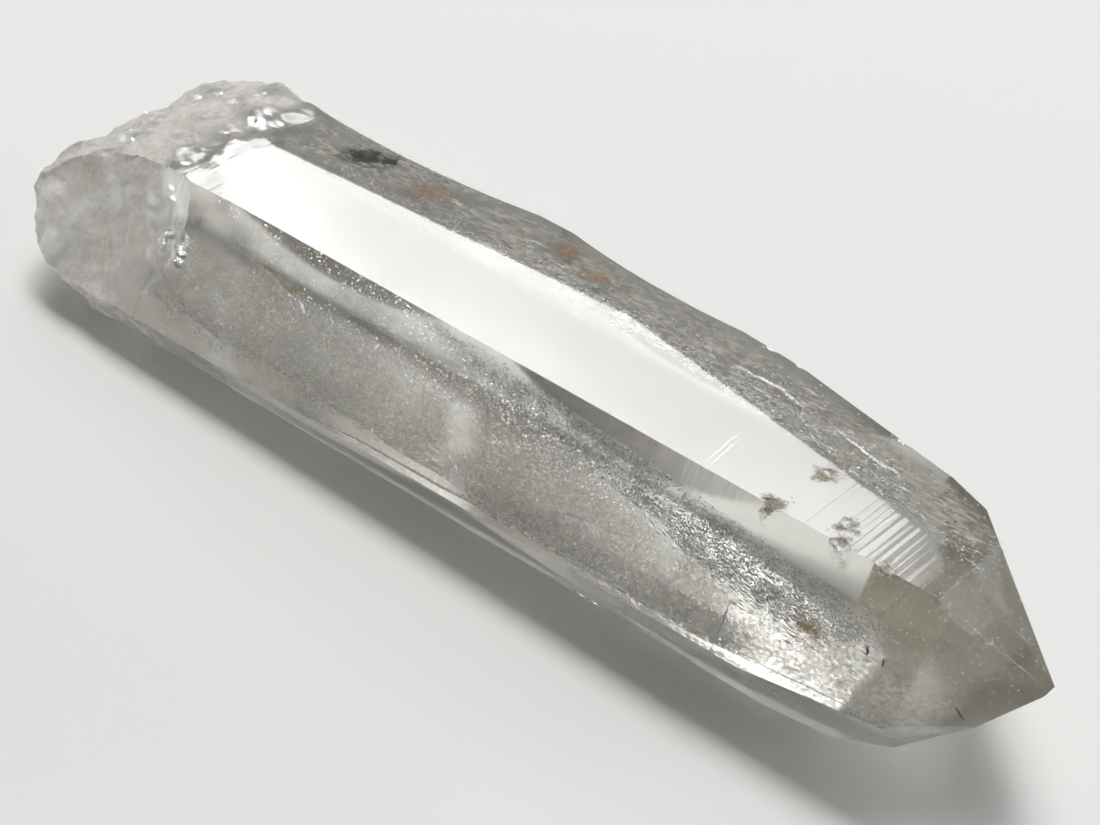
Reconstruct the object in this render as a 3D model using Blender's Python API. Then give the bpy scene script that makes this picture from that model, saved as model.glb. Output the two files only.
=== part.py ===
"""Himalayan quartz crystal: one clear natural point, lying on a prism face.

The crystal is cut in its growth frame, in millimetres: +X is the c axis, towards the tip, +Z is
up, and the origin is the corner where the top prism face, the front prism face and the top tip
face meet. The finished crystal is moved so that its bounding box stands on the origin.
"""

import math

import bmesh
import bpy
from mathutils import Matrix, Vector, noise

MM = 0.001
UP = Vector((0.0, 0.0, 1.0))
C_AXIS = Vector((1.0, 0.0, 0.0))

# Quartz has six prism faces in 60 degree steps. Each tip face's normal leans off the c axis.
PRISM_STEP = 60.0
TIP_LEAN = 51.787
PRISM_ORDER = ("top", "front", "front_low", "bottom", "back_low", "back_high")

# How near a cut a point may lie and still count as on it.
CUT_TOLERANCE = 1e-5

# The block that the crystal is cut from, past its tip, its base and its sides.
BLOCK_LOW = Vector((-100.0, -15.0, -20.0))
BLOCK_HIGH = Vector((15.0, 30.0, 5.0))

# Widths and thickness. The front low face and the back edge draw in towards the tip.
THICKNESS = 15.6
BOTTOM_BACK_EDGE = 14.5

# The front low face in two flats: width of the front face at the origin, and taper in degrees.
FRONT_FLATS = ((10.45, 1.9), (9.2, 8.4))

# The back high face in four flats: a point on its top edge, and taper in degrees.
BACK_FLATS = (
    ((-41.0, 16.15, -0.45), 1.6),
    ((-22.0, 14.3, -0.45), 5.6),
    ((-6.3, 11.1, -0.45), 11.5),
    ((-2.7, 9.75, -0.45), 20.0),
)

# How far each tip face stands off the origin, along its own normal.
TIP_STAND_OFF = {
    "top": 0.0,
    "front": 0.43,
    "front_low": 6.26,
    "bottom": 8.6,
    "back_low": 9.6,
    "back_high": 4.67,
}

# Vicinal faces lean a few degrees off the face that they share a trace with.
SHOULDER_LEAN = 5.0
SHOULDER_TRACE = ((-74.0, 8.4, 0.0), (-35.0, 10.1, 0.0), (0.0, 3.9, 0.0))
BASE_CORNER_LEAN = 3.0
BASE_CORNER_TRACE = ((-74.6, 8.2, 0.0), (-74.6, 3.5, 0.0), (-70.2, 0.5, 0.0))
TIP_FLANK_LEAN = 7.0
TIP_FLANK_TRACE = ((6.6, 3.75, -5.2), (2.9, 3.75, -2.3))

# The broken end is a rough dome. It reaches furthest at its crest, and it slopes up from there to
# the top face, which it meets nearer the tip: at this x by the front edge, and further out behind.
BREAK_LOW = Vector((-110.0, -12.0, -20.0))
BREAK_HIGH = Vector((-60.0, 26.0, 2.0))
BREAK_CELLS = 36
BREAK_ROW_POWER = 0.6
BREAK_REACH = 96.2
BREAK_CREST = -7.8
BREAK_TOP_REACH = 75.6
BREAK_TOP_SKEW = 0.3
BREAK_TOP_POWER = 2.5
BREAK_FALL_BELOW = 0.113
BREAK_SHOULDERS = (0.0, 14.0)
BREAK_FALL_IN_FRONT = 0.108
BREAK_FALL_BEHIND = 0.12

# The shell-shaped scoops in the break, as (width, depth), and how sharply each one falls in.
SCOOPS = ((9.0, 2.4), (3.6, 0.9), (1.4, 0.25))
SCOOP_PITCH = 1.4

# A shell-shaped scar on the front face, beside the broken end.
SCAR_CENTRE = (-82.5, 4.6)
SCAR_RADIUS = 30.0
SCAR_DEPTH = 1.5
SCAR_SECTORS = 36
SCAR_RINGS = 84

# Wide hollows along the back: (x, y, z, radius), the width of their flats, and the drums' length.
SCALLOPS = ((-65.0, 115.4, 0.0, 100.0), (-32.0, 78.75, 0.0, 64.0))
SCALLOP_FLAT = 2.5
SCALLOP_LENGTH = 50.0

# Chips and pits: (x, y, z, radius, stretch along the c axis), and their height over their radius.
CHIP_FLATNESS = 0.7
CHIPS = (
    (-8.3, 1.7, 0.25, 0.6, 1.5),
    (-12.5, 5.2, 0.3, 0.65, 1.7),
    (-12.6, 7.0, 0.3, 0.5, 1.2),
    (-13.1, 0.1, 0.15, 0.7, 1.6),
    (-7.6, -0.2, 0.1, 0.9, 1.1),
    (-4.0, 0.0, 0.1, 0.5, 1.8),
    (-24.8, 14.7, -0.5, 0.45, 1.5),
    (-21.9, 14.4, -0.5, 0.35, 1.8),
    (-11.3, 12.2, -0.5, 0.5, 1.3),
    (-28.0, -2.8, -15.2, 0.5, 1.6),
    (-26.6, -2.8, -15.2, 0.55, 1.3),
    (-20.8, -2.4, -15.2, 0.4, 1.8),
)

# A growth ledge on the front face: it starts at this x and fades out towards the tip and the top.
LEDGE_BLOCK = Vector((-13.3, -12.0, -12.0))
LEDGE_END = -4.0
LEDGE_TOP = 6.0
LEDGE_FOOT = 10.5
LEDGE_DEPTH = 0.18


def prism_normal(name):
    """Outward normal of a prism face: the top one looks along +Z, the front one towards -Y."""
    turn = math.radians(PRISM_STEP * PRISM_ORDER.index(name))
    return Vector((0.0, -math.sin(turn), math.cos(turn)))


def tip_normal(name):
    """Outward normal of the tip face that grows over a prism face."""
    lean = math.radians(TIP_LEAN)
    return prism_normal(name) * math.sin(lean) + C_AXIS * math.cos(lean)


def turned(normal, axis, degrees):
    """A normal leaned over by some degrees about an axis."""
    return Matrix.Rotation(math.radians(degrees), 3, axis) @ normal


def on_front(down):
    """The point of the front prism face that lies this far below its top edge, at the origin's x."""
    slope = math.radians(PRISM_STEP)
    return Vector((0.0, -math.cos(slope), -math.sin(slope))) * down


def box_between(low, high):
    """A bmesh box between two corners."""
    bm = bmesh.new()
    bmesh.ops.create_cube(bm, size=1.0)
    bmesh.ops.scale(bm, vec=high - low, verts=bm.verts)
    bmesh.ops.translate(bm, vec=(high + low) / 2, verts=bm.verts)
    return bm


def keep_behind(bm, point, normal):
    """Cuts the solid flat at a plane, keeps what lies behind it and closes the cut."""
    cut = bmesh.ops.bisect_plane(
        bm,
        geom=bm.verts[:] + bm.edges[:] + bm.faces[:],
        dist=CUT_TOLERANCE,
        plane_co=point,
        plane_no=normal,
        clear_outer=True,
    )
    rim = [item for item in cut["geom_cut"] if isinstance(item, bmesh.types.BMEdge)]
    if rim:
        bmesh.ops.holes_fill(bm, edges=rim, sides=0)


def keep_behind_trace(bm, face_normal, start, end, lean):
    """Cuts a vicinal face that leans off its parent to the left of a trace from start to end."""
    trace = (Vector(end) - Vector(start)).normalized()
    keep_behind(bm, start, turned(face_normal, trace, lean))


def cut_prism(bm):
    """The long faces. The front low one and the back high one draw in towards the tip."""
    keep_behind(bm, (0, 0, 0), prism_normal("top"))
    keep_behind(bm, (0, 0, -THICKNESS), prism_normal("bottom"))
    keep_behind(bm, (0, 0, 0), prism_normal("front"))
    for width, taper in FRONT_FLATS:
        keep_behind(bm, on_front(width), turned(prism_normal("front_low"), UP, taper))
    for edge, taper in BACK_FLATS:
        keep_behind(bm, edge, turned(prism_normal("back_high"), UP, -taper))
    keep_behind(bm, (0, BOTTOM_BACK_EDGE, -THICKNESS), prism_normal("back_low"))


def cut_tip(bm):
    """The six faces of the point."""
    for name, stand_off in TIP_STAND_OFF.items():
        normal = tip_normal(name)
        keep_behind(bm, normal * stand_off, normal)


def cut_vicinal_faces(bm):
    """Flats that lean a little off the top face, along its back edge and at its far corner."""
    top = prism_normal("top")
    far, middle, near = SHOULDER_TRACE
    keep_behind_trace(bm, top, near, middle, SHOULDER_LEAN)
    keep_behind_trace(bm, top, middle, far, SHOULDER_LEAN)
    back, bend, front = BASE_CORNER_TRACE
    keep_behind_trace(bm, top, back, bend, BASE_CORNER_LEAN)
    keep_behind_trace(bm, top, bend, front, BASE_CORNER_LEAN)
    low, high = TIP_FLANK_TRACE
    keep_behind_trace(bm, tip_normal("top"), low, high, TIP_FLANK_LEAN)


def scooped(point):
    """Depth of the shell-shaped scoops of a quartz fracture at a point of the broken end."""
    depth = 0.0
    for width, deepest in SCOOPS:
        nearest = noise.voronoi(point / width)[0][0]
        depth += deepest * max(0.0, 1.0 - SCOOP_PITCH * nearest)
    return depth


def break_surface(y, z):
    """The x of the broken surface at a y and z."""
    if z > BREAK_CREST:
        top = BREAK_TOP_REACH + BREAK_TOP_SKEW * max(0.0, y)
        height = (z - BREAK_CREST) / -BREAK_CREST
        fall = (BREAK_REACH - top) * height**BREAK_TOP_POWER
    else:
        fall = BREAK_FALL_BELOW * (BREAK_CREST - z) ** 2
    fall += BREAK_FALL_IN_FRONT * max(0.0, BREAK_SHOULDERS[0] - y) ** 2
    fall += BREAK_FALL_BEHIND * max(0.0, y - BREAK_SHOULDERS[1]) ** 2
    x = fall - BREAK_REACH
    return x + scooped(Vector((x, y, z)))


def break_row(z):
    """Draws the rows above the crest together towards the top, where the break runs nearly level."""
    span = BREAK_HIGH.z - BREAK_CREST
    height = max(0.0, z - BREAK_CREST) / span
    return z if z <= BREAK_CREST else BREAK_CREST + span * height**BREAK_ROW_POWER


def break_cutter():
    """What the break took away: a block beyond the far end whose near side is the fracture."""
    bm = box_between(BREAK_LOW, BREAK_HIGH)
    near = max(bm.faces, key=lambda face: face.calc_center_median().x)
    bmesh.ops.subdivide_edges(bm, edges=near.edges[:], cuts=BREAK_CELLS, use_grid_fill=True)
    for vert in bm.verts:
        if vert.co.x > BREAK_HIGH.x - CUT_TOLERANCE:
            vert.co.z = break_row(vert.co.z)
            vert.co.x = break_surface(vert.co.y, vert.co.z)
    return bm


def ledge_cutter():
    """A sliver off the front face, deepest at its own lower corner away from the tip."""
    bm = box_between(LEDGE_BLOCK, Vector())
    front = prism_normal("front")
    start = C_AXIS * LEDGE_BLOCK.x
    top = on_front(LEDGE_TOP) + start
    foot = on_front(LEDGE_FOOT) + start
    end = on_front(LEDGE_FOOT) + C_AXIS * LEDGE_END
    floor_normal = (end - top).cross(foot - front * LEDGE_DEPTH - top).normalized()
    inward = floor_normal if floor_normal.dot(front) < 0 else -floor_normal
    keep_behind(bm, top, inward)
    return bm


def scar_cutter():
    """A large ball that takes a shallow shell-shaped scar off the front face."""
    bm = bmesh.new()
    bmesh.ops.create_uvsphere(
        bm, u_segments=SCAR_SECTORS, v_segments=SCAR_RINGS, radius=SCAR_RADIUS
    )
    facing = UP.rotation_difference(prism_normal("front")).to_matrix()
    bmesh.ops.rotate(bm, cent=(0, 0, 0), matrix=facing, verts=bm.verts)
    along, down = SCAR_CENTRE
    centre = on_front(down) + C_AXIS * along
    centre += prism_normal("front") * (SCAR_RADIUS - SCAR_DEPTH)
    bmesh.ops.translate(bm, vec=centre, verts=bm.verts)
    return bm


def scallop_cutter(x, y, z, radius):
    """A wide upright drum that hollows an edge slightly."""
    bm = bmesh.new()
    bmesh.ops.create_cone(
        bm,
        cap_ends=True,
        segments=int(math.tau * radius / SCALLOP_FLAT),
        radius1=radius,
        radius2=radius,
        depth=SCALLOP_LENGTH,
    )
    bmesh.ops.translate(bm, vec=(x, y, z), verts=bm.verts)
    return bm


def chip_cutter(x, y, z, radius, stretch):
    """A small blunt pit, longer along the c axis."""
    bm = bmesh.new()
    bmesh.ops.create_icosphere(bm, subdivisions=1, radius=radius)
    bmesh.ops.scale(bm, vec=(stretch, 1.0, CHIP_FLATNESS), verts=bm.verts)
    bmesh.ops.translate(bm, vec=(x, y, z), verts=bm.verts)
    return bm


def new_object(name, bm, collection):
    """Puts a finished bmesh, in mm, into a new object in metres."""
    bmesh.ops.recalc_face_normals(bm, faces=bm.faces[:])
    bm.transform(Matrix.Scale(MM, 4))
    mesh = bpy.data.meshes.new(name)
    bm.to_mesh(mesh)
    bm.free()
    made = bpy.data.objects.new(name, mesh)
    collection.objects.link(made)
    return made


def add_cutter(crystal, name, bm, collection):
    """Takes a shape out of the crystal with a Boolean, and keeps its object as a guide."""
    cutter = new_object(name, bm, collection)
    cutter.hide_render = True
    cutter.display_type = "WIRE"
    boolean = crystal.modifiers.new(name, "BOOLEAN")
    boolean.operation = "DIFFERENCE"
    boolean.solver = "EXACT"
    boolean.object = cutter


def quartz_material():
    """Clear quartz, colourless with a faint warm grey."""
    material = bpy.data.materials.new("quartz")
    material.use_nodes = True
    shader = material.node_tree.nodes["Principled BSDF"]
    shader.inputs["Base Color"].default_value = (0.93, 0.93, 0.91, 1.0)
    shader.inputs["Roughness"].default_value = 0.03
    shader.inputs["Metallic"].default_value = 0.0
    shader.inputs["IOR"].default_value = 1.544
    shader.inputs["Transmission Weight"].default_value = 1.0
    return material


def new_collection(name):
    made = bpy.data.collections.new(name)
    bpy.context.scene.collection.children.link(made)
    return made


def clear_scene():
    for existing in list(bpy.data.objects):
        bpy.data.objects.remove(existing, do_unlink=True)


def corners_of(thing):
    """Lowest and highest corner of an object as it is after its modifiers."""
    bpy.context.view_layer.update()
    evaluated = thing.evaluated_get(bpy.context.evaluated_depsgraph_get())
    places = [thing.matrix_world @ vert.co for vert in evaluated.data.vertices]
    low = Vector(min(place[axis] for place in places) for axis in range(3))
    high = Vector(max(place[axis] for place in places) for axis in range(3))
    return low, high


def stand_on_origin(crystal, cutters):
    """Moves the crystal and its cutters so that its box stands centred on the origin."""
    low, high = corners_of(crystal)
    shift = Vector((-(low.x + high.x) / 2, -(low.y + high.y) / 2, -low.z))
    for thing in [crystal, *cutters.objects]:
        thing.location += shift


def main():
    clear_scene()
    parts = new_collection("himalayan_quartz_crystal")
    cutters = new_collection("cutters")
    bm = box_between(BLOCK_LOW, BLOCK_HIGH)
    cut_prism(bm)
    cut_tip(bm)
    cut_vicinal_faces(bm)
    crystal = new_object("quartz_crystal", bm, parts)
    crystal.data.materials.append(quartz_material())
    add_cutter(crystal, "broken_end", break_cutter(), cutters)
    add_cutter(crystal, "scar", scar_cutter(), cutters)
    add_cutter(crystal, "growth_ledge", ledge_cutter(), cutters)
    for number, scallop in enumerate(SCALLOPS):
        add_cutter(crystal, f"scallop_{number}", scallop_cutter(*scallop), cutters)
    for number, chip in enumerate(CHIPS):
        add_cutter(crystal, f"chip_{number}", chip_cutter(*chip), cutters)
    stand_on_origin(crystal, cutters)


main()
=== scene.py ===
"""Himalayan quartz crystal: the looks of one clear natural quartz point lying on a pale table."""

import math
import random

import bmesh
import bpy
from mathutils import Euler, Matrix, Vector, noise
from mathutils.bvhtree import BVHTree


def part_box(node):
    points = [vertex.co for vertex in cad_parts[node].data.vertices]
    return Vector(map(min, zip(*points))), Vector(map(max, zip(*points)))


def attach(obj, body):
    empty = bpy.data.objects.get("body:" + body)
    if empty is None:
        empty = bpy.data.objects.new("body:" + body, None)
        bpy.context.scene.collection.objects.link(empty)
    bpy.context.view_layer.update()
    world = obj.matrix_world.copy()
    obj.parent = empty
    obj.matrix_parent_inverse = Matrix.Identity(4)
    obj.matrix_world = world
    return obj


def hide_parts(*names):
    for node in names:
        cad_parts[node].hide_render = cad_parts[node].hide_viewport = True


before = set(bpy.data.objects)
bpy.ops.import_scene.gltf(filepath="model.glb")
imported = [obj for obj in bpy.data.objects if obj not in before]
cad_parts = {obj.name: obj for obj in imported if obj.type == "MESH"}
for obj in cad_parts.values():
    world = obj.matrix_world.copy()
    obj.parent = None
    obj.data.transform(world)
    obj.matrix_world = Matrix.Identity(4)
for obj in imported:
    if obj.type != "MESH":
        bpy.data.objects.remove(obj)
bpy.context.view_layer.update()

# --- Where things are ----------------------------------------------------------------------------
# Quartz is measured from the corner where its top face, its front face and the tip face over the
# top one meet: +X runs along the c axis to the tip and +Z up. The corner is the point of the flat
# top that lies furthest towards the tip and the front. All offsets from it are in millimetres.
MM = 0.001
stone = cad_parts["quartz_crystal"]
stone_low, stone_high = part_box("quartz_crystal")
top_points = [vert.co for vert in stone.data.vertices if vert.co.z > stone_high.z - 0.01 * MM]
corner = max(top_points, key=lambda point: point.x - point.y).copy()


def at(x, y, z):
    """A place in metres, from its offsets to the corner in mm."""
    return corner + Vector((x, y, z)) * MM


# --- Camera --------------------------------------------------------------------------------------
# A close, slightly long lens looks down on the front face from the tip's side. Its place is in mm
# from the corner.
VIEW_AZIMUTH = 43.8
VIEW_ELEVATION = 36.7
CAMERA_PLACE = (46.52, -83.21, 83.12)
LENS_MM = 65.45
SENSOR_MM = 36.0
NEAREST_SEEN = 10 * MM
camera_data = bpy.data.cameras.new("camera")
camera_data.lens = LENS_MM
camera_data.sensor_width = SENSOR_MM
camera_data.clip_start = NEAREST_SEEN
camera = bpy.data.objects.new("camera", camera_data)
camera.location = at(*CAMERA_PLACE)
camera.rotation_euler = (math.radians(90 - VIEW_ELEVATION), 0, math.radians(VIEW_AZIMUTH))
bpy.context.scene.collection.objects.link(camera)
bpy.context.scene.camera = camera
bpy.context.scene.view_settings.view_transform = "Standard"

# --- Table and light -----------------------------------------------------------------------------
# A matt off-white board under soft daylight that comes from above and behind, in a dim room.
# The lights are strips beyond the table's far side, in metres and degrees.
TABLE_GAP = 0.05 * MM
TABLE_SIDE = 3.0
TABLE_WHITE = (0.80, 0.80, 0.785, 1.0)
ROOM_LIGHT = 0.11
MOST_BOUNCES = 8
bm = bmesh.new()
bmesh.ops.create_grid(bm, x_segments=1, y_segments=1, size=TABLE_SIDE / 2)
bmesh.ops.translate(bm, vec=(0, 0, -TABLE_GAP), verts=bm.verts)
table_mesh = bpy.data.meshes.new("table")
bm.to_mesh(table_mesh)
bm.free()
table = bpy.data.objects.new("table", table_mesh)
bpy.context.scene.collection.objects.link(table)
board = bpy.data.materials.new("matt_board")
board.use_nodes = True
shader = board.node_tree.nodes["Principled BSDF"]
shader.inputs["Base Color"].default_value = TABLE_WHITE
shader.inputs["Roughness"].default_value = 0.8
shader.inputs["Specular IOR Level"].default_value = 0.1
table_mesh.materials.append(board)


def strip_light(name, x_range, height, distance, tall, radiance):
    """A rectangular light whose long side runs along X, this many degrees above the table's far
    side. Its power follows from how bright it looks."""
    width = x_range[1] - x_range[0]
    data = bpy.data.lights.new(name, "AREA")
    data.shape = "RECTANGLE"
    data.size = width
    data.size_y = tall
    data.energy = radiance * math.pi * width * tall
    light = bpy.data.objects.new(name, data)
    rise = math.radians(height)
    light.location = (sum(x_range) / 2, distance * math.cos(rise), distance * math.sin(rise))
    light.rotation_euler = (rise - math.pi / 2, 0, 0)
    bpy.context.scene.collection.objects.link(light)


strip_light("skylight", (-1.41, -0.45), 65, 1.8, 0.315, 7.86)
strip_light("skylight_end", (-0.45, 0.0), 65, 1.8, 0.315, 5.78)
strip_light("dim_sky", (-1.5, 0.0), 55, 1.85, 0.30, 1.73)
strip_light("ceiling_left", (-0.61, -0.19), 77, 1.5, 0.37, 6.00)
strip_light("ceiling", (-0.18, 0.18), 77, 1.5, 0.37, 15.02)
strip_light("ceiling_right", (0.19, 0.61), 77, 1.5, 0.37, 3.69)
strip_light("overhead", (-0.35, 0.35), 97, 1.3, 0.55, 0.81)
strip_light("window", (-1.65, -0.48), 43.5, 1.2, 0.24, 4.16)
strip_light("low_window", (-0.54, 2.0), 10.5, 2.0, 0.67, 2.08)
strip_light("side_window", (0.5, 2.8), 10.5, 0.5, 0.165, 12.71)

world = bpy.data.worlds.new("dim_room")
world.use_nodes = True
world.node_tree.nodes["Background"].inputs["Color"].default_value = (1.0, 1.0, 1.0, 1.0)
world.node_tree.nodes["Background"].inputs["Strength"].default_value = ROOM_LIGHT
bpy.context.scene.world = world
# Ten lights need no light tree, and long thin pieces trace faster with split boxes.
paths = bpy.context.scene.cycles
paths.use_light_tree = False
paths.debug_use_spatial_splits = True
paths.max_bounces = MOST_BOUNCES
paths.transmission_bounces = MOST_BOUNCES
paths.glossy_bounces = 6
paths.diffuse_bounces = 2
paths.transparent_max_bounces = 10

# --- The crystal ---------------------------------------------------------------------------------
# One clear quartz point, with faint steps across the c axis on its growth faces, and a frosted
# break and chips. The solid's faces are cut into small cells, so that the fine relief is real
# shape. Sizes are in mm and creases in degrees, and each pit is a place and a reach.
CELL = 0.7
SAME_SPOT = 0.001
SAME_PLANE = 0.2
CREASE = 8.0
BREAK_CREASE = 35.0
BREAK_STARTS = -73.0
BREAK_FULL = -79.0
STEP_RELIEF = 0.004
WAVE_RELIEF = 0.016
CHIP_RELIEF = 0.45
SHARD_RELIEF = 0.38
ETCHED = 0.3
PITS = (
    (-8.3, 1.7, 0.0, 0.9), (-12.5, 5.2, 0.0, 1.0), (-12.6, 7.0, 0.0, 0.7), (-13.1, 0.1, 0.0, 1.1),
    (-7.6, -0.2, 0.0, 1.0), (-4.0, 0.0, 0.0, 0.7),
)


def fade(value, start, end):
    """0 at the start and 1 at the end, with a soft run between them."""
    share = min(1.0, max(0.0, (value - start) / (end - start)))
    return share * share * (3 - 2 * share)


def break_share(place):
    """How much of the frosted break shows here, from 0 on a growth face to 1 on the broken end."""
    return fade(place.x, BREAK_STARTS, BREAK_FULL)


def dull_share(normal):
    """How dull a growth face is. The tip, the back and the underside are finely etched."""
    return ETCHED * fade(max(normal.y, normal.x, -normal.z), 0.4, 0.75)


bm = bmesh.new()
bm.from_mesh(stone.data)
bmesh.ops.remove_doubles(bm, verts=bm.verts, dist=SAME_SPOT * MM)
bmesh.ops.dissolve_limit(
    bm, angle_limit=math.radians(SAME_PLANE), verts=bm.verts, edges=bm.edges, delimit={"NORMAL"}
)
bm.normal_update()
for side, across in enumerate((Vector((1, 0, 0)), Vector((0, 1, 0)), Vector((0, 0, 1)))):
    cuts = round((stone_high[side] - stone_low[side]) / (CELL * MM))
    for number in range(1, cuts):
        place = stone_low + (stone_high - stone_low) * number / cuts
        geometry = bm.verts[:] + bm.edges[:] + bm.faces[:]
        bmesh.ops.bisect_plane(
            bm, geom=geometry, dist=2 * SAME_SPOT * MM, plane_co=place, plane_no=across
        )
bm.normal_update()
frost = bm.verts.layers.float.new("frost")
moves = []
for vert in bm.verts:
    place = (vert.co - corner) / MM
    broken = break_share(place)
    around = place.y * 0.6 + place.z
    steps = noise.noise(Vector((place.x / 1.2, around / 40, 3.0))) * STEP_RELIEF
    waves = noise.noise(Vector((place.x / 4.5, around / 9, 8.0))) * WAVE_RELIEF
    chips = noise.noise(place / 2.6 + Vector((5, 0, 0))) * CHIP_RELIEF
    chips += abs(noise.noise(place / 1.3)) * SHARD_RELIEF
    chipped = max(fade((place - Vector(pit[:3])).length / pit[3], 1.0, 0.6) for pit in PITS)
    vert[frost] = max(broken, dull_share(vert.normal), chipped)
    moves.append((vert, vert.normal * (steps + waves + (chips - 0.1) * broken) * MM))
for vert, move in moves:
    moved = vert.co + move
    vert.co = Vector((moved.x, moved.y, max(moved.z, stone_low.z)))
walls = BVHTree.FromBMesh(bm)
bm.normal_update()
for face in bm.faces:
    face.smooth = True
for edge in bm.edges:
    in_break = edge.verts[0][frost] > 0.5
    edge.smooth = edge.calc_face_angle(0.0) < math.radians(BREAK_CREASE if in_break else CREASE)
crystal_mesh = bpy.data.meshes.new("crystal")
bm.to_mesh(crystal_mesh)
bm.free()
crystal = bpy.data.objects.new("crystal", crystal_mesh)
bpy.context.scene.collection.objects.link(crystal)

QUARTZ_IOR = 1.544
SMOKY_OLIVE = (0.86, 0.83, 0.70, 1.0)
GROWTH_LINES = (2600.0, 35.0, 35.0)
quartz = bpy.data.materials.new("clear_quartz")
quartz.use_nodes = True
nodes = quartz.node_tree.nodes
links = quartz.node_tree.links
shader = nodes["Principled BSDF"]
shader.inputs["Base Color"].default_value = (1.0, 1.0, 1.0, 1.0)
shader.inputs["Coat Weight"].default_value = 1.0
shader.inputs["Coat Roughness"].default_value = 0.06
shader.inputs["Coat IOR"].default_value = QUARTZ_IOR
shader.inputs["IOR"].default_value = QUARTZ_IOR
shader.inputs["Transmission Weight"].default_value = 1.0
absorption = nodes.new("ShaderNodeVolumeAbsorption")
absorption.inputs["Color"].default_value = SMOKY_OLIVE
absorption.inputs["Density"].default_value = 18.0
links.new(absorption.outputs["Volume"], nodes["Material Output"].inputs["Volume"])
place = nodes.new("ShaderNodeTexCoord")
frosted = nodes.new("ShaderNodeAttribute")
frosted.attribute_name = "frost"
rough = nodes.new("ShaderNodeMapRange")
rough.inputs["To Min"].default_value = 0.14
rough.inputs["To Max"].default_value = 0.42
links.new(frosted.outputs["Fac"], rough.inputs["Value"])
links.new(rough.outputs["Result"], shader.inputs["Roughness"])
stretch = nodes.new("ShaderNodeMapping")
stretch.inputs["Scale"].default_value = GROWTH_LINES
links.new(place.outputs["Object"], stretch.inputs["Vector"])
growth_lines = nodes.new("ShaderNodeTexNoise")
growth_lines.inputs["Scale"].default_value = 1.0
growth_lines.inputs["Detail"].default_value = 1.5
links.new(stretch.outputs["Vector"], growth_lines.inputs["Vector"])
relief = nodes.new("ShaderNodeBump")
relief.inputs["Strength"].default_value = 0.23
relief.inputs["Distance"].default_value = 0.05 * MM
links.new(growth_lines.outputs["Fac"], relief.inputs["Height"])
links.new(relief.outputs["Normal"], shader.inputs["Normal"])
links.new(relief.outputs["Normal"], shader.inputs["Coat Normal"])
crystal_mesh.materials.append(quartz)
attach(crystal, "root")
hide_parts("quartz_crystal")

# --- Veils ---------------------------------------------------------------------------------------
# Healed cracks full of tiny fluid bubbles hang in the quartz as thin, wavy, milky sheets. They
# let part of the light through and glow with it. One lies level deep inside, four follow the front
# faces, one follows the back strip of the top and one fills the tip. Of the front ones, the one
# under the top edge is no milk but a grey sheet of painted shade.
FILM_THICKNESS = 0.02
MIDDLE = 2.5
FAR_OUT = 60.0
WALL_GAP = 0.35
SHARPER = (0.36, 0.64)
SLANT = math.radians(60)
FRONT_DOWN = Vector((0, -math.cos(SLANT), -math.sin(SLANT)))
FRONT_IN = Vector((0, math.sin(SLANT), -math.cos(SLANT)))


def speckle(nodes, links, size, drawn_out, detail, low_value, high_value):
    """A noise with spots of this size in mm, stretched along the c axis, as a value from the low
    one to the high one."""
    place = nodes.new("ShaderNodeTexCoord")
    scale = nodes.new("ShaderNodeMapping")
    scale.inputs["Scale"].default_value = (
        1 / (size * drawn_out * MM), 1 / (size * MM), 1 / (size * MM)
    )
    links.new(place.outputs["Object"], scale.inputs["Vector"])
    spots = nodes.new("ShaderNodeTexNoise")
    spots.inputs["Scale"].default_value = 1.0
    spots.inputs["Detail"].default_value = detail
    links.new(scale.outputs["Vector"], spots.inputs["Vector"])
    spread = nodes.new("ShaderNodeMapRange")
    spread.inputs["From Min"].default_value = SHARPER[0]
    spread.inputs["From Max"].default_value = SHARPER[1]
    spread.inputs["To Min"].default_value = low_value
    spread.inputs["To Max"].default_value = high_value
    links.new(spots.outputs["Fac"], spread.inputs["Value"])
    return spread.outputs["Result"]


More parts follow.
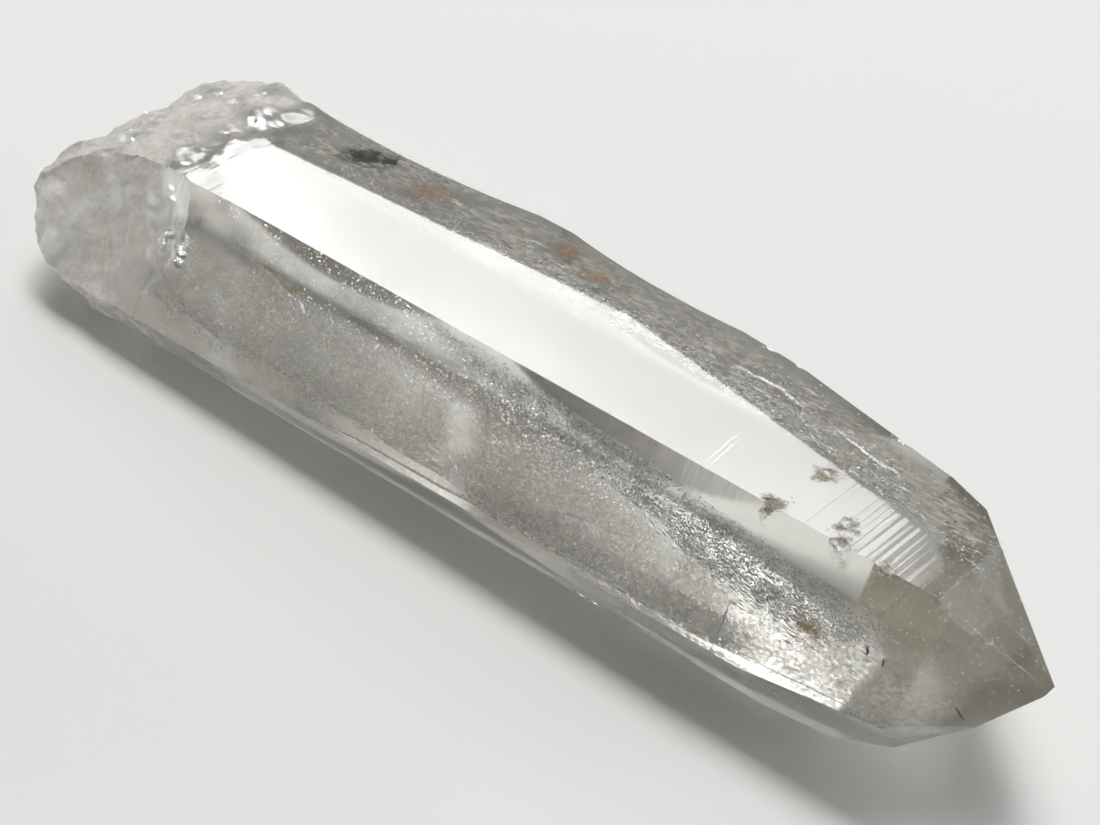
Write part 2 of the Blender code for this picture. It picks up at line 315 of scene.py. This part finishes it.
def veil_material(name, dark, light, cover, patch, grain, drawn_out=1.0, grit=0.5, glow=0.5,
                  shine=0.0):
    """Bubble film in patches and grains of these sizes in mm. Glow is the share of its light that
    comes through from behind, and shine makes the rest a silky gleam."""
    made = bpy.data.materials.new(name)
    made.use_nodes = True
    nodes = made.node_tree.nodes
    links = made.node_tree.links
    shader = nodes["Principled BSDF"]
    shader.inputs["Roughness"].default_value = 0.6 - 0.2 * shine
    shader.inputs["Metallic"].default_value = shine
    shader.inputs["Specular IOR Level"].default_value = 0.2
    tone = nodes.new("ShaderNodeMix")
    tone.data_type = "RGBA"
    tone.inputs["A"].default_value = (*dark, 1.0)
    tone.inputs["B"].default_value = (*light, 1.0)
    grains = speckle(nodes, links, grain, drawn_out, 1.0, 0.0, 1.0)
    links.new(grains, tone.inputs["Factor"])
    links.new(tone.outputs["Result"], shader.inputs["Base Color"])
    through = nodes.new("ShaderNodeBsdfTranslucent")
    links.new(tone.outputs["Result"], through.inputs["Color"])
    both = nodes.new("ShaderNodeMixShader")
    both.inputs["Fac"].default_value = glow
    links.new(shader.outputs["BSDF"], both.inputs[1])
    links.new(through.outputs["BSDF"], both.inputs[2])
    rim = nodes.new("ShaderNodeAttribute")
    rim.attribute_name = "rim"
    patches = nodes.new("ShaderNodeMath")
    patches.operation = "MULTIPLY"
    links.new(speckle(nodes, links, patch, drawn_out, 2.0, *cover), patches.inputs[0])
    links.new(rim.outputs["Fac"], patches.inputs[1])
    amount = nodes.new("ShaderNodeMath")
    amount.operation = "MULTIPLY"
    amount.use_clamp = True
    links.new(patches.outputs["Value"], amount.inputs[0])
    uneven = nodes.new("ShaderNodeMath")
    uneven.operation = "MULTIPLY_ADD"
    links.new(grains, uneven.inputs[0])
    uneven.inputs[1].default_value = 2 * grit
    uneven.inputs[2].default_value = 1 - grit
    links.new(uneven.outputs["Value"], amount.inputs[1])
    clear = nodes.new("ShaderNodeBsdfTransparent")
    shown = nodes.new("ShaderNodeMixShader")
    links.new(amount.outputs["Value"], shown.inputs["Fac"])
    links.new(clear.outputs["BSDF"], shown.inputs[1])
    links.new(both.outputs["Shader"], shown.inputs[2])
    links.new(shown.outputs["Shader"], nodes["Material Output"].inputs["Surface"])
    return made


def quartz_piece(name, bm, material):
    """The finished object of an inclusion, which moves with the stone."""
    mesh = bpy.data.meshes.new(name)
    bm.to_mesh(mesh)
    bm.free()
    mesh.materials.append(material)
    made = bpy.data.objects.new(name, mesh)
    bpy.context.scene.collection.objects.link(made)
    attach(made, "root")
    return made


def film(name, spot, columns, rows, material):
    """A thin closed sheet. Its spot function turns two shares from 0 to 1 into a place in mm from
    the corner and a rim value, which fades its cover."""
    bm = bmesh.new()
    rim = bm.verts.layers.float.new("rim")
    bmesh.ops.create_grid(bm, x_segments=columns, y_segments=rows, size=0.5)
    for vert in bm.verts:
        place, vert[rim] = spot(vert.co.x + 0.5, vert.co.y + 0.5)
        vert.co = at(*place)
    bmesh.ops.recalc_face_normals(bm, faces=bm.faces[:])
    bmesh.ops.solidify(bm, geom=bm.faces[:], thickness=FILM_THICKNESS * MM)
    bmesh.ops.recalc_face_normals(bm, faces=bm.faces[:])
    return quartz_piece(name, bm, material)


def side_walls(x, level):
    """Where the stone's two sides are at this x and level, in mm from the corner."""
    front = walls.ray_cast(at(x, -FAR_OUT, level), Vector((0, 1, 0)))[0]
    back = walls.ray_cast(at(x, FAR_OUT, level), Vector((0, -1, 0)))[0]
    if front is None or back is None:
        return MIDDLE, MIDDLE
    return (front.y - corner.y) / MM, (back.y - corner.y) / MM


def flat_cloud(level, edges, x_range, ripple, seed, end_fade, back_fade):
    """The spot function of a level cloud that runs between two edges in y, inside the stone."""

    def spot(along, across):
        x = x_range[0] + along * (x_range[1] - x_range[0])
        front, back = side_walls(x, level)
        near = max(edges[0], front + WALL_GAP)
        sway = noise.noise(Vector((x / 5.0, seed, 1.0))) * 1.2
        far = max(near + 0.05, min(edges[1] + sway, back - WALL_GAP))
        y = near + across * (far - near)
        end = fade(x - x_range[0], 0, end_fade) * fade(x_range[1] - x, 0, 2.0)
        rim = end * fade(far - y, 0, back_fade)
        wave = noise.noise(Vector((x + seed, y, seed)) / 6.0) * ripple
        return (x, y, level + wave), rim

    return spot


def on_front(x, down, depth=0.0):
    """A place this far below the front face's top edge, and this deep under the face."""
    return Vector((x, 0, 0)) + FRONT_DOWN * down + FRONT_IN * depth


def on_top(x, back, depth=0.0):
    """A place this far behind the top face's front edge, and this deep under the face."""
    return Vector((x, back, -depth))


def between(points, x):
    """Straight-line reading of a curve that is given by a few (x, value) points."""
    for (x0, value0), (x1, value1) in zip(points, points[1:]):
        if x <= x1:
            return value0 + (value1 - value0) * max(0.0, x - x0) / (x1 - x0)
    return points[-1][1]


def face_veil(place_on, depth, near_edge, far_edge, ripple, seed, fades, end_fade):
    """The spot function of a veil that follows a face at this depth, between two curves."""
    start, end = near_edge[0][0], near_edge[-1][0]

    def spot(along, across):
        x = start + along * (end - start)
        near, far = between(near_edge, x), between(far_edge, x)
        reach = near + across * (far - near)
        rim = fade(min(x - start, end - x), 0, end_fade)
        rim *= fade(reach - near, 0, fades[0]) * fade(far - reach, 0, fades[1])
        wave = noise.noise(Vector((x + seed, reach, seed)) / 4.0) * ripple
        return place_on(x, reach, depth + wave), rim

    return spot


MILK = (0.95, 0.935, 0.895)
milk = veil_material(
    "milky_veil", (0.80, 0.79, 0.75), MILK, (0.30, 0.60), 4.0, 0.35, glow=0.4, shine=0.2
)
lower_cloud = flat_cloud(-9.2, (-6.0, 4.8), (-80, 1.5), 0.5, 3.0, 6.0, 3.6)
film("lower_cloud", lower_cloud, 90, 16, milk)
haze = veil_material("fine_haze", (0.85, 0.84, 0.80), MILK, (0.10, 0.30), 3.0, 0.25, glow=0.6)
HAZE_TOP = ((-76, 4.4), (-50, 3.4), (-37, 2.9), (-15, 4.2), (1, 3.0))
HAZE_FOOT = ((-76, 12.6), (-50, 11.9), (-37, 11.4), (-15, 10.6), (1, 9.5))
lower_haze = face_veil(on_front, 0.7, HAZE_TOP, HAZE_FOOT, 0.2, 4.0, (0.9, 0.9), 4.0)
film("lower_haze", lower_haze, 90, 16, haze)
# Painted shade: a grey sheet under the front face's top edge darkens the band there, where the view
# through the stone finds only dim surroundings.
upper_band_shade = veil_material(
    "painted_shade_veil", (0.40, 0.40, 0.38), (0.58, 0.57, 0.55), (0.15, 0.30), 5.0, 0.3, grit=0.1, glow=0.4
)
UPPER_EDGE = ((-76, 0.1), (-50, 0.1), (-30, 0.1), (-22, 0.3))
UPPER_FOOT = ((-76, 4.6), (-50, 3.8), (-37, 2.4), (-22, 1.0))
painted_shade_band = face_veil(on_front, 0.8, UPPER_EDGE, UPPER_FOOT, 0.2, 8.0, (2.2, 0.5), 3.0)
film("painted_shade_band", painted_shade_band, 70, 12, upper_band_shade)
EDGE_TOP = ((-40, 9.4), (-24, 8.4), (-9, 7.8))
EDGE_FOOT = ((-40, 11.3), (-24, 11.0), (-9, 10.4))
edge_veil = face_veil(on_front, 0.5, EDGE_TOP, EDGE_FOOT, 0.1, 9.0, (0.8, 0.15), 4.0)
film("edge_veil", edge_veil, 40, 10, milk)


def low_spot(along, across):
    """The spot function of a veil just inside the lower front face."""
    x = -30 + 27 * along
    level = -9.4 - 4.8 * across
    rim = fade(min(along, 1 - along), 0, 0.3) * fade(across, 0, 0.1) * fade(1 - across, 0, 0.3)
    return (x, side_walls(x, level)[0] + 0.5, level), rim


film("low_veil", low_spot, 50, 10, milk)
fog = veil_material(
    "tip_fog", (0.85, 0.80, 0.71), (0.97, 0.93, 0.85), (0.08, 0.24), 4.0, 0.3, grit=0.2, glow=0.4,
    shine=0.3
)
film("tip_cloud", flat_cloud(-5.6, (-2.0, 7.0), (-8.0, 4.0), 0.4, 5.0, 3.0, 2.0), 40, 20, fog)
FAR_NEAR = ((-76, 9.6), (-50, 9.6), (-35, 8.8), (-28, 8.6), (-15, 7.2), (-2, 4.8), (1, 4.2))
FAR_EDGE = ((-76, 16.4), (-50, 16.0), (-35, 15.4), (-22, 13.8), (-6, 10.6), (-2, 9.2), (1, 7.4))
streaked = veil_material(
    "streaked_veil", (0.76, 0.73, 0.65), (0.97, 0.95, 0.89), (0.15, 0.7), 1.3, 0.3, 3.5, 0.7,
    glow=0.5, shine=0.3
)
far_veil = face_veil(on_top, 0.9, FAR_NEAR, FAR_EDGE, 0.5, 6.0, (1.2, 0.6), 4.0)
film("far_veil", far_veil, 90, 14, streaked)

# --- Frosted break -------------------------------------------------------------------------------
# The broken end is crusted with crushed quartz, which scatters light. It is a skin on the stone's
# own surface, whiter towards the end.
SKIN_LIFT = 0.03


def skin(name, share, material):
    """A thin closed skin over the stone where the share function of a place and a normal is more
    than nothing. The share also fades its cover."""
    bm = bmesh.new()
    bm.from_mesh(crystal_mesh)
    rim = bm.verts.layers.float.new("rim")
    bm.normal_update()
    for vert in bm.verts:
        vert[rim] = share((vert.co - corner) / MM, vert.normal)
    bare = [face for face in bm.faces if max(vert[rim] for vert in face.verts) < 0.02]
    bmesh.ops.delete(bm, geom=bare, context="FACES")
    for vert, outward in [(vert, vert.normal.copy()) for vert in bm.verts]:
        vert.co += outward * SKIN_LIFT * MM
    made = bmesh.ops.extrude_face_region(bm, geom=bm.faces[:], use_keep_orig=True)
    bm.normal_update()
    for vert in made["geom"]:
        if isinstance(vert, bmesh.types.BMVert):
            vert.co += vert.normal * FILM_THICKNESS * MM
    bmesh.ops.recalc_face_normals(bm, faces=bm.faces[:])
    return quartz_piece(name, bm, material)


def crust_share(place, normal):
    """How thick the crushed crust lies here."""
    patchy = 0.5 + 0.9 * noise.noise(place / 3.0 + Vector((2, 7, 1)))
    shown = fade(place.x + 2.5 * noise.noise(place / 2.0), -76.5, -84.0)
    return shown * min(1.0, max(0.15, patchy)) * fade(normal.z, -0.6, -0.3)


crushed = veil_material(
    "crushed_quartz", (0.93, 0.90, 0.84), (0.99, 0.97, 0.93), (0.55, 0.95), 2.5, 0.6, grit=0.15,
    glow=0.4
)
skin("crust", crust_share, crushed)

# --- Specks in the quartz ------------------------------------------------------------------------
# Tiny flat bubbles and flakes lie in a band under the front face, finer below and behind it, under
# the back strip, and long and thin near the tip. They fill healed cracks and so face nearly one
# way, and glint where they face a light, most of all in a hook-shaped crack near the break.
FRONT_FLAKES_FACE = Vector((0.085, -0.276, 0.957))
TOP_FLAKES_FACE = Vector((0.165, -0.120, 0.979))
BREAK_FLAKES_FACE = Vector((0.247, -0.086, 0.965)).normalized()
KEY_FACE = Vector((0.20, -0.57, 0.797)).normalized()
HOOK_FACE = Vector((0.248, -0.568, 0.785)).normalized()
TIP_FACE = Vector((0.41, -0.34, 0.85)).normalized()
HOOK = ((-76.0, 6.2), (-75.6, 5.2), (-74.7, 4.7), (-73.7, 4.9), (-73.1, 5.7), (-72.9, 6.9))
C_AXIS = Vector((1, 0, 0))
BAND_TOP = ((-50, 0.1), (-38, 0.5), (-31, 1.2), (-22, 1.7), (-16, 2.2), (-6, 3.0), (-1, 3.2))
BAND_FOOT = ((-50, 0.6), (-40, 2.2), (-27, 4.4), (-22, 4.9), (-16, 6.4), (-6, 6.4), (-1, 4.4))
FLAKE_GLOSS = 0.8
flake_mesh = bpy.data.meshes.new("flake")
bm = bmesh.new()
bmesh.ops.create_uvsphere(bm, u_segments=4, v_segments=2, radius=1.0)
bm.to_mesh(flake_mesh)
bm.free()


def flake_material(name, dark, light, roughness):
    """Flat flakes that mirror dully. Each has its own tone, from the dark to the light colour."""
    made = bpy.data.materials.new(name)
    made.use_nodes = True
    nodes = made.node_tree.nodes
    links = made.node_tree.links
    tone = nodes.new("ShaderNodeAttribute")
    tone.attribute_name = "tone"
    mix = nodes.new("ShaderNodeMix")
    mix.data_type = "RGBA"
    mix.inputs["A"].default_value = (*dark, 1.0)
    mix.inputs["B"].default_value = (*light, 1.0)
    links.new(tone.outputs["Fac"], mix.inputs["Factor"])
    shader = nodes["Principled BSDF"]
    links.new(mix.outputs["Result"], shader.inputs["Base Color"])
    shader.inputs["Roughness"].default_value = roughness
    shader.inputs["Metallic"].default_value = FLAKE_GLOSS
    return made


def flakes(name, count, spot, size, drawn_out, facing, spread, tones, material, seed,
           flatness=0.14):
    """Joined flakes inside the stone. The spot function gives each one's place in mm, or None for
    none. Spread is how far they tilt at random, in radians."""
    draw = random.Random(seed)
    across = facing.cross(C_AXIS).normalized()
    lie = Matrix((across.cross(facing), across, facing)).transposed()
    bm = bmesh.new()
    tone = bm.verts.layers.float.new("tone")
    placed = []
    while len(placed) < count:
        place = spot(draw)
        if place is None:
            continue
        centre = at(*place)
        reach = draw.triangular(*size, size[0]) * MM
        hit, normal = walls.find_nearest(centre)[:2]
        if (hit - centre).dot(normal) < reach * 0.5:
            continue
        tilt = Euler((draw.gauss(0, spread), draw.gauss(0, spread), draw.gauss(0, spread)))
        turn = lie @ tilt.to_matrix()
        scale = Vector((reach * drawn_out, reach, reach * flatness))
        placed.append((Matrix.LocRotScale(centre, turn, scale), draw.choice(tones)))
        bm.from_mesh(flake_mesh)
    verts = list(bm.verts)
    each = len(flake_mesh.vertices)
    for number, (matrix, shade) in enumerate(placed):
        for vert in verts[number * each:(number + 1) * each]:
            vert.co = matrix @ vert.co
            vert[tone] = shade
    return quartz_piece(name, bm, material)


def front_band(draw):
    """In the speck band under the front face."""
    x = draw.triangular(-50, -1, -17)
    down = draw.uniform(between(BAND_TOP, x), between(BAND_FOOT, x))
    if noise.noise(Vector((x / 2.2, down / 1.1, 4.0))) + draw.uniform(-0.5, 0.5) < -0.1:
        return None
    return on_front(x, down, draw.triangular(0.05, 0.9, 0.1))


def lower_front(draw):
    """Under the lower half of the front face."""
    x = draw.triangular(-70, 0, -34)
    return on_front(x, draw.uniform(between(BAND_FOOT, x), 10.5),
                    draw.triangular(0.05, 2.0, 0.1))


def deep_front(draw):
    """Deep enough behind the front face for the light from above to reach it."""
    x = draw.triangular(-76, -12, -34)
    down = draw.uniform(between(BAND_FOOT, x) - 0.5, 9.6)
    return on_front(x, down, 0.25 * down + draw.uniform(0.4, 1.3))


def inside_tip(draw):
    """Anywhere in the tip."""
    return (draw.uniform(-9, 6), draw.uniform(-4, 8), draw.triangular(-9, -0.5, -3))


def front_streaks(draw):
    """Along the foot of the speck band, towards the tip."""
    x = draw.triangular(-24, -2, -10)
    down = draw.gauss(between(((-24, 4.0), (-2, 6.2)), x), 1.0)
    if not 2.5 < down < 9:
        return None
    return on_front(x, down, draw.triangular(0.05, 0.9, 0.1))


def far_band(draw):
    """Under the back strip of the top face, in streaks."""
    x = draw.triangular(-76, 2, -14)
    back = between(FAR_NEAR, x) + abs(draw.gauss(0, 2.2))
    if noise.noise(Vector((x / 3.0, back / 0.9, 9.0))) + draw.uniform(-0.4, 0.4) < 0:
        return None
    return on_top(x, back, draw.triangular(0.1, 2.0, 0.4))


def break_flashes(draw):
    """Just inside the broken end."""
    x = draw.uniform(-95, -77)
    start = at(x, draw.uniform(-4, 16), 6.0)
    hit, normal = walls.ray_cast(start, Vector((0, 0, -1)))[:2]
    if hit is None:
        return None
    return (hit - corner) / MM - normal * draw.uniform(0.3, 1.6)


def hook(draw):
    """Along the hook-shaped crack."""
    reach = draw.uniform(0, len(HOOK) - 1.001)
    start, end = HOOK[int(reach)], HOOK[int(reach) + 1]
    share = reach - int(reach)
    x = start[0] + (end[0] - start[0]) * share + draw.gauss(0, 0.25)
    down = start[1] + (end[1] - start[1]) * share + draw.gauss(0, 0.25)
    return on_front(x, down, draw.uniform(0.3, 1.2))


bright = flake_material("bubble_flakes", (0.30, 0.30, 0.28), (0.93, 0.92, 0.89), 0.42)
glossy = flake_material("glossy_flakes", (0.80, 0.79, 0.76), (0.97, 0.96, 0.94), 0.25)
flakes("front_specks", 7600, front_band, (0.03, 0.09), 1.2, FRONT_FLAKES_FACE, 0.25,
       (0.2, 0.9, 1.0), bright, 5)
flakes("lower_specks", 900, lower_front, (0.02, 0.06), 1.5, KEY_FACE, 0.25,
       (0.9, 1.0), glossy, 6, 0.06)
flakes("lower_glow", 8500, deep_front, (0.02, 0.08), 1.3, FRONT_FLAKES_FACE, 0.10,
       (0.9, 1.0), glossy, 15, 0.04)
flakes("tip_glow", 500, inside_tip, (0.02, 0.06), 1.2, TIP_FACE, 0.2,
       (0.9, 1.0), bright, 16, 0.04)
flakes("front_streaks", 500, front_streaks, (0.03, 0.08), 7, FRONT_FLAKES_FACE, 0.2,
       (0.7, 1.0), bright, 7)
flakes("far_specks", 4600, far_band, (0.04, 0.12), 1.3, TOP_FLAKES_FACE, 0.2,
       (0.6, 0.9, 1.0), bright, 8, 0.07)
flakes("far_streaks", 420, far_band, (0.04, 0.10), 7, TOP_FLAKES_FACE, 0.2,
       (0.2, 0.9, 1.0), bright, 9)
flakes("break_flashes", 200, break_flashes, (0.2, 0.9), 1.8, BREAK_FLAKES_FACE, 0.15,
       (0.7, 1.0), glossy, 10, 0.05)
flakes("hook_flash", 130, hook, (0.2, 0.5), 1.3, HOOK_FACE, 0.06,
       (1.0,), glossy, 14, 0.04)
granular = veil_material(
    "granular_film", (0.36, 0.36, 0.34), (0.97, 0.96, 0.92), (0.10, 0.45), 1.4, 0.2, 1.4, 0.9
)
speck_film = face_veil(on_front, 0.3, BAND_TOP, BAND_FOOT, 0.1, 2.0, (0.7, 0.7), 4.0)
film("speck_film", speck_film, 70, 12, granular)

# --- Cracks and growth lines ---------------------------------------------------------------------
# Fine open cracks and growth steps show as thin lines just under the faces. Each is a thin blade
# that narrows to both ends. Air makes them bright where they face the window.
SEAM_STEPS = 14


def on_path(points, share):
    """The place this share of the way through a list of places, and the way that it runs there."""
    reach = min(share * (len(points) - 1), len(points) - 1.001)
    start, end = points[int(reach)], points[int(reach) + 1]
    return start.lerp(end, reach - int(reach)), (end - start).normalized()


def seams(name, lines, facing, material, seed):
    """Joined blades that face one way. Each line is its width in mm and the places it runs by."""
    bm = bmesh.new()
    rim = bm.verts.layers.float.new("rim")
    for width, points in lines:
        blade = bmesh.ops.create_grid(bm, x_segments=SEAM_STEPS, y_segments=1, size=0.5)
        for vert in blade["verts"]:
            place, along = on_path(points, vert.co.x + 0.5)
            narrow = math.sin(math.pi * (0.04 + 0.92 * (vert.co.x + 0.5)))
            across = along.cross(facing).normalized()
            waver = noise.noise(place * 1.7 + Vector((seed, 0, 0))) * width
            vert.co = at(*(place + across * (vert.co.y * width * narrow + waver)))
            vert[rim] = min(1.0, 2 * narrow)
    bmesh.ops.solidify(bm, geom=bm.faces[:], thickness=FILM_THICKNESS * MM)
    bmesh.ops.recalc_face_normals(bm, faces=bm.faces[:])
    return quartz_piece(name, bm, material)


UNDER = 0.15
air_crack = veil_material(
    "air_crack", (0.85, 0.84, 0.80), (1.0, 0.99, 0.96), (0.7, 1.0), 1.0, 0.2, glow=0.2, shine=1.0
)


def lines_on(place_on, lines):
    """Seam lines under a face, from each one's width, depth and places along it, in mm."""
    return [
        (width, [place_on(x, reach, depth) for x, reach in places])
        for width, depth, places in lines
    ]


front_lines = lines_on(on_front, (
    (0.24, UNDER, ((-54, 12.0), (-44, 11.3), (-33, 10.9), (-22, 10.5), (-13.2, 10.0))),
    (0.16, UNDER, ((-13.2, 9.9), (-13.25, 8.6), (-13.3, 7.4))),
    (0.08, UNDER, ((-13.2, 10.0), (-8.0, 9.7), (-3.4, 9.2), (0.2, 8.8))),
    (0.10, UNDER, ((-30, 8.3), (-26, 7.6), (-22.5, 7.7))),
    (0.12, UNDER, ((-65.7, 3.3), (-62.5, 3.6), (-59.0, 4.4))),
    (0.30, 0.4, ((-58.8, 4.3), (-57.6, 5.0))),
    (0.12, UNDER, ((-2.2, 1.0), (-3.0, 2.6), (-4.2, 3.4))),
))
seams("front_seams", front_lines, KEY_FACE, air_crack, 11)
top_lines = lines_on(on_top, (
    (0.10, UNDER, ((-19.3, 0.6), (-19.6, 2.8), (-19.7, 4.8))),
    (0.10, UNDER, ((-18.9, 0.6), (-19.1, 2.4), (-19.2, 4.0))),
    (0.10, UNDER, ((-6.9, 2.3), (-6.8, 4.0), (-6.7, 5.5))),
    (0.5, 0.6, ((-76.2, 5.0), (-76.3, 6.4), (-76.4, 7.6))),
    (0.5, 1.0, ((-60, 12.6), (-56, 13.2), (-51, 13.0), (-45, 13.6))),
    (0.4, 1.2, ((-53, 11.6), (-49, 11.8), (-44, 12.4))),
    (0.3, 0.8, ((-26, 11.0), (-22, 11.2), (-18, 10.4))),
    (0.2, 0.8, ((-16, 10.2), (-12, 9.2), (-9, 8.8))),
))
seams("top_seams", top_lines, TOP_FLAKES_FACE, air_crack, 12)

# --- Painted highlights on the tip's edges -------------------------------------------------------
# Fine pale lines are painted along the tip's edges as the highlights that they catch, and one
# more, on a growth step, crosses the upper tip face. The lines lie on the surface, and face
# between the tip faces that meet there.
TIP_EDGE_FACE = Vector((0.5, -0.4, 0.77)).normalized()
EDGE_LINE_LIFT = 0.06
# Pale paint for the painted highlights along the tip's edges.
edge_highlight_paint = veil_material(
    "painted_edge_highlight", (0.75, 0.73, 0.68), (0.92, 0.90, 0.85), (0.10, 0.4), 0.8, 0.15, glow=0.5
)


def lines_at(lines, offset):
    """Seam lines from each one's width and places, moved by this offset, all in mm."""
    return [(width, [Vector(place) + offset for place in places]) for width, places in lines]


edge_highlight_lines = lines_at((
    (0.13, ((0, 0, 0), (3.4, 1.5, -2.68), (6.6, 2.95, -5.2))),
    (0.11, ((0, 0.2, 0), (0.0, 2.4, 0.0), (0.0, 4.4, 0.0))),
    (0.10, ((3.0, 3.4, -2.37), (4.0, 3.9, -3.2), (5.0, 4.4, -3.95))),
    (0.16, ((3.2, 0.9, -2.55), (3.2, 2.0, -2.5))),
), TIP_EDGE_FACE * EDGE_LINE_LIFT)
seams("edge_highlights", edge_highlight_lines, TIP_EDGE_FACE, edge_highlight_paint, 17)

# --- Iron stain and a dark grain -----------------------------------------------------------------
# Iron has stained a few healed cracks yellow to orange. One dark green-black grain, perhaps
# chlorite, sits under the back edge near the break, and three small dark marks near the tip.
def blot(place_on, middle, reach, depth, seed):
    """The spot function of a ragged round patch of this reach in mm, under a face."""

    def spot(along, across):
        x, side = (2 * along - 1) * reach[0], (2 * across - 1) * reach[1]
        ragged = noise.noise(Vector((x, side, seed)) / 0.9) * 0.35
        away = math.hypot(2 * along - 1, 2 * across - 1) + ragged
        return place_on(middle[0] + x, middle[1] + side, depth), fade(away, 1.0, 0.3)

    return spot


stain = veil_material("iron_stain", (0.78, 0.60, 0.32), (0.97, 0.88, 0.66), (0.4, 0.9), 0.8, 0.2)
faint_stain = veil_material(
    "faint_stain", (0.75, 0.50, 0.32), (0.92, 0.74, 0.58), (0.4, 0.8), 0.9, 0.3
)
film("front_stain", blot(on_front, (-7.2, 6.0), (1.5, 0.55), 0.15, 1.0), 12, 8, stain)
film("crack_stain", blot(on_front, (-59.6, 3.9), (0.8, 0.45), 0.25, 2.0), 12, 8, stain)
film("long_stain", blot(on_front, (-62.2, 3.35), (2.2, 0.25), 0.3, 3.0), 14, 8, stain)
film("far_stain", blot(on_top, (-58.9, 12.7), (2.2, 1.7), 0.5, 4.0), 12, 8, faint_stain)
film("far_stain_2", blot(on_top, (-45.2, 14.0), (2.0, 1.2), 0.5, 5.0), 12, 8, faint_stain)
film("far_stain_3", blot(on_top, (-40.5, 12.6), (1.6, 0.8), 0.5, 6.0), 12, 8, faint_stain)
film("base_stain", blot(on_top, (-79.5, 8.2), (1.2, 0.5), 1.0, 7.0), 12, 8, faint_stain)

chlorite = bpy.data.materials.new("chlorite")
chlorite.use_nodes = True
nodes = chlorite.node_tree.nodes
links = chlorite.node_tree.links
mottle = nodes.new("ShaderNodeMix")
mottle.data_type = "RGBA"
mottle.inputs["A"].default_value = (0.010, 0.014, 0.008, 1.0)
mottle.inputs["B"].default_value = (0.055, 0.065, 0.040, 1.0)
links.new(speckle(nodes, links, 0.6, 1.0, 4.0, 0.0, 1.0), mottle.inputs["Factor"])
links.new(mottle.outputs["Result"], nodes["Principled BSDF"].inputs["Base Color"])
nodes["Principled BSDF"].inputs["Roughness"].default_value = 0.6
GRAIN_LUMPS = ((-67.4, 13.2, 1.5, 1.6), (-65.6, 14.2, 1.3, 1.1), (-69.0, 12.7, 1.6, 1.0))
bm = bmesh.new()
for x, back, depth, reach in GRAIN_LUMPS:
    lump = bmesh.ops.create_icosphere(bm, subdivisions=3, radius=reach * MM)
    for vert in lump["verts"]:
        way = vert.co.normalized()
        vert.co *= 1 + 0.5 * noise.noise(way * 1.8 + Vector((x, back, 0)))
        vert.co.z *= 0.6
        vert.co += at(*on_top(x, back, depth))
bmesh.ops.recalc_face_normals(bm, faces=bm.faces[:])
quartz_piece("dark_grain", bm, chlorite)
dark_marks = lines_at((
    (0.22, ((-2.9, -2.5, -4.3), (-2.75, -2.85, -4.9))),
    (0.15, ((-1.6, -2.6, -4.5), (-1.45, -2.9, -5.0))),
    (0.12, ((3.2, -1.4, -6.3), (3.6, -1.3, -6.8), (4.0, -1.2, -7.1))),
), Vector((-0.2, 0.1, 0.0)))
seams("dark_marks", dark_marks, TIP_EDGE_FACE, chlorite, 18)

# --- Dirt in the chips ---------------------------------------------------------------------------
# The chips along the edges and the small pits of the top face hold grey-brown dirt.
def dirt_share(place, normal):
    """How much dirt lies here."""
    share = 0.0
    for x, y, z, reach in PITS:
        away = (place - Vector((x, y, z))).length / reach
        share = max(share, fade(away + 0.5 * noise.noise(place * 1.6), 0.95, 0.45))
    return share


dirt = veil_material(
    "pit_dirt", (0.20, 0.18, 0.13), (0.50, 0.46, 0.38), (-0.5, 1.1), 0.6, 0.15, 1.8, glow=0.1
)
skin("dirt", dirt_share, dirt)
